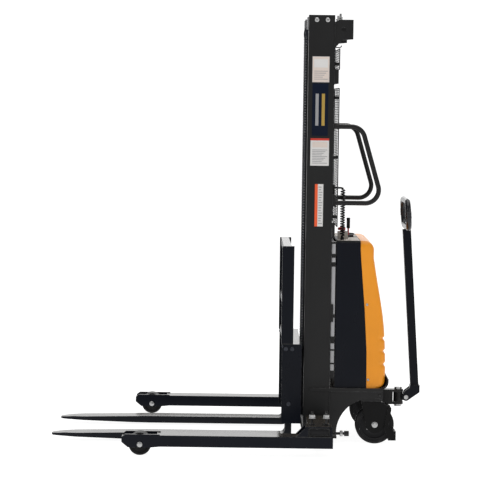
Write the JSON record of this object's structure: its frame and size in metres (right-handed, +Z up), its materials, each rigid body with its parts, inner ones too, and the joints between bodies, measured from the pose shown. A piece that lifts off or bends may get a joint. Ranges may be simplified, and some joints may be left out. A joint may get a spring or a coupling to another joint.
{
  "type": "walkie stacker",
  "caption": "Pedestrian lift truck with straddle legs, telescopic mast, adjustable forks on a carriage with load backrest, rear power pack, swivel casters and a pull tiller.",
  "frame": {"origin": "middle of the footprint's box, on the floor", "axes": "+X back to the operator, -X to the fork tips, +Z up, left side is -Y"},
  "size_m": [1.7, 1.354, 1.962],
  "materials": {
    "black_paint": "satin powder coat",
    "navy_paint": "satin powder coat",
    "orange_cover": "smooth moulded shell",
    "black_plastic": "fine moulded texture",
    "zinc": "zinc plated",
    "steel": "machined and oiled",
    "chrome_rod": "ground hard chrome",
    "wire": "galvanised wire",
    "rubber": "moulded",
    "tyre": "solid polyurethane, used",
    "red_plastic": "smooth",
    "chain": "oiled leaf chain"
  },
  "bodies": {
    "chassis": {"base_frame": "black_paint", "outer_channel_left": "black_paint", "outer_channel_right": "black_paint", "outer_crossmembers": "black_paint", "mast_head": "black_paint", "body_bolts": "zinc", "lift_cylinder": "black_paint", "mesh_guard": "wire", "grab_handle_left": "black_paint", "grab_handle_right": "black_paint", "side_panel_left": "navy_paint", "side_panel_right": "navy_paint", "rear_cover": "orange_cover", "console": "black_plastic", "battery": "black_plastic", "pump_motor": "black_plastic", "oil_tank": "black_plastic", "cable_loom": "rubber", "kingpin": "zinc", "rear_chains": "chain"},
    "inner_mast": {"inner_mast_left": "black_paint", "inner_mast_right": "black_paint", "inner_crosshead": "steel", "inner_tie": "black_paint", "piston_rod": "chrome_rod", "front_chains": "chain"},
    "chain_pulleys": {"chain_pulleys": "steel"},
    "mast_rollers": {"mast_rollers": "steel"},
    "head_rollers": {"head_rollers": "steel"},
    "carriage_rollers_lower": {"carriage_rollers_lower": "steel"},
    "carriage_rollers_upper": {"carriage_rollers_upper": "steel"},
    "carriage": {"carriage_frame": "navy_paint", "backrest": "navy_paint"},
    "fork_left": {"fork_left": "navy_paint"},
    "fork_right": {"fork_right": "navy_paint"},
    "steer_yoke": {"tiller_yoke": "black_paint", "tilt_pin": "zinc"},
    "tiller": {"tiller_shaft": "navy_paint", "tiller_loop": "rubber"},
    "lift_lever": {"lift_lever": "red_plastic"},
    "emergency_stop": {"emergency_stop": "red_plastic"},
    "key_switch": {"key_switch": "zinc"},
    "leg_left": {"leg_left": "navy_paint", "clamp_studs_left": "zinc", "load_axle_left": "zinc"},
    "load_wheel_left": {"load_wheel_left": "tyre"},
    "caster_left": {"caster_fork_left": "black_paint", "caster_axle_left": "zinc"},
    "rear_wheel_left": {"rear_wheel_left": "black_plastic", "rear_tyre_left": "tyre"},
    "brake_pedal_left": {"brake_pedal_left": "black_paint"},
    "leg_right": {"leg_right": "navy_paint", "clamp_studs_right": "zinc", "load_axle_right": "zinc"},
    "load_wheel_right": {"load_wheel_right": "tyre"},
    "caster_right": {"caster_fork_right": "black_paint", "caster_axle_right": "zinc"},
    "rear_wheel_right": {"rear_wheel_right": "black_plastic", "rear_tyre_right": "tyre"},
    "brake_pedal_right": {"brake_pedal_right": "black_paint"}
  },
  "joints": [
    {"name": "mast_lift", "type": "slide", "parent": "chassis", "child": "inner_mast", "axis": [0, 0, 1], "range_m": [0, 1.4], "deforming": ["rear_chains"]},
    {"name": "carriage_lift", "type": "slide", "parent": "inner_mast", "child": "carriage", "axis": [0, 0, 1], "range_m": [0, 1.4], "deforming": ["front_chains"]},
    {"name": "pulley_spin", "type": "hinge", "parent": "inner_mast", "child": "chain_pulleys", "pos_m": [0.358, 0, 1.874], "axis": [0, 1, 0], "continuous": true},
    {"name": "mast_roller_spin", "type": "hinge", "parent": "inner_mast", "child": "mast_rollers", "pos_m": [0.357, 0, 0.17], "axis": [0, 1, 0], "continuous": true},
    {"name": "head_roller_spin", "type": "hinge", "parent": "chassis", "child": "head_rollers", "pos_m": [0.357, 0, 1.84], "axis": [0, 1, 0], "continuous": true},
    {"name": "carriage_roller_lower_spin", "type": "hinge", "parent": "carriage", "child": "carriage_rollers_lower", "pos_m": [0.357, 0, 0.165], "axis": [0, 1, 0], "continuous": true},
    {"name": "carriage_roller_upper_spin", "type": "hinge", "parent": "carriage", "child": "carriage_rollers_upper", "pos_m": [0.357, 0, 0.395], "axis": [0, 1, 0], "continuous": true},
    {"name": "fork_left_shift", "type": "slide", "parent": "carriage", "child": "fork_left", "axis": [0, -1, 0], "range_m": [-0.1, 0.018]},
    {"name": "fork_right_shift", "type": "slide", "parent": "carriage", "child": "fork_right", "axis": [0, 1, 0], "range_m": [-0.1, 0.018]},
    {"name": "leg_left_width", "type": "slide", "parent": "chassis", "child": "leg_left", "axis": [0, -1, 0], "range_m": [-0.15, 0.02]},
    {"name": "load_wheel_left_spin", "type": "hinge", "parent": "leg_left", "child": "load_wheel_left", "pos_m": [-0.428, -0.62, 0.05], "axis": [0, 1, 0], "continuous": true},
    {"name": "leg_right_width", "type": "slide", "parent": "chassis", "child": "leg_right", "axis": [0, 1, 0], "range_m": [-0.15, 0.02]},
    {"name": "load_wheel_right_spin", "type": "hinge", "parent": "leg_right", "child": "load_wheel_right", "pos_m": [-0.428, 0.62, 0.05], "axis": [0, 1, 0], "continuous": true},
    {"name": "caster_left_swivel", "type": "hinge", "parent": "chassis", "child": "caster_left", "pos_m": [0.598, -0.24, 0.2], "axis": [0, 0, 1], "continuous": true},
    {"name": "rear_wheel_left_spin", "type": "hinge", "parent": "caster_left", "child": "rear_wheel_left", "pos_m": [0.626, -0.24, 0.089], "axis": [0, 1, 0], "continuous": true},
    {"name": "brake_left_pedal", "type": "hinge", "parent": "caster_left", "child": "brake_pedal_left", "pos_m": [0.692, -0.24, 0.16], "axis": [0, 1, 0], "range_deg": [-20, 0]},
    {"name": "caster_right_swivel", "type": "hinge", "parent": "chassis", "child": "caster_right", "pos_m": [0.598, 0.24, 0.2], "axis": [0, 0, 1], "continuous": true},
    {"name": "rear_wheel_right_spin", "type": "hinge", "parent": "caster_right", "child": "rear_wheel_right", "pos_m": [0.626, 0.24, 0.089], "axis": [0, 1, 0], "continuous": true},
    {"name": "brake_right_pedal", "type": "hinge", "parent": "caster_right", "child": "brake_pedal_right", "pos_m": [0.692, 0.24, 0.16], "axis": [0, 1, 0], "range_deg": [-20, 0]},
    {"name": "tiller_steer", "type": "hinge", "parent": "chassis", "child": "steer_yoke", "pos_m": [0.751, 0, 0.183], "axis": [0, 0, 1], "range_deg": [-75, 75]},
    {"name": "tiller_tilt", "type": "hinge", "parent": "steer_yoke", "child": "tiller", "pos_m": [0.787, 0, 0.183], "axis": [0, 1, 0], "range_deg": [0, 80], "stiffness_Nm_per_rad": 20, "springref_deg": -34.38},
    {"name": "lever_rock", "type": "hinge", "parent": "chassis", "child": "lift_lever", "pos_m": [0.505, 0, 0.925], "axis": [0, 1, 0], "range_deg": [-20, 20], "stiffness_Nm_per_rad": 2},
    {"name": "stop_press", "type": "slide", "parent": "chassis", "child": "emergency_stop", "axis": [0, 0, -1], "range_m": [0, 0.005]},
    {"name": "key_turn", "type": "hinge", "parent": "chassis", "child": "key_switch", "pos_m": [0.477, -0.13, 0.95], "axis": [0, 0, 1], "range_deg": [0, 90]}
  ],
  "couplings": [
    {"joint": "carriage_lift", "follows": "mast_lift", "ratio": 1},
    {"joint": "pulley_spin", "follows": "mast_lift", "rad_per_m": 15.152},
    {"joint": "mast_roller_spin", "follows": "mast_lift", "rad_per_m": -20.833},
    {"joint": "head_roller_spin", "follows": "mast_lift", "rad_per_m": 21.739},
    {"joint": "carriage_roller_lower_spin", "follows": "mast_lift", "rad_per_m": -21.739},
    {"joint": "carriage_roller_upper_spin", "follows": "mast_lift", "rad_per_m": 21.739}
  ]
}
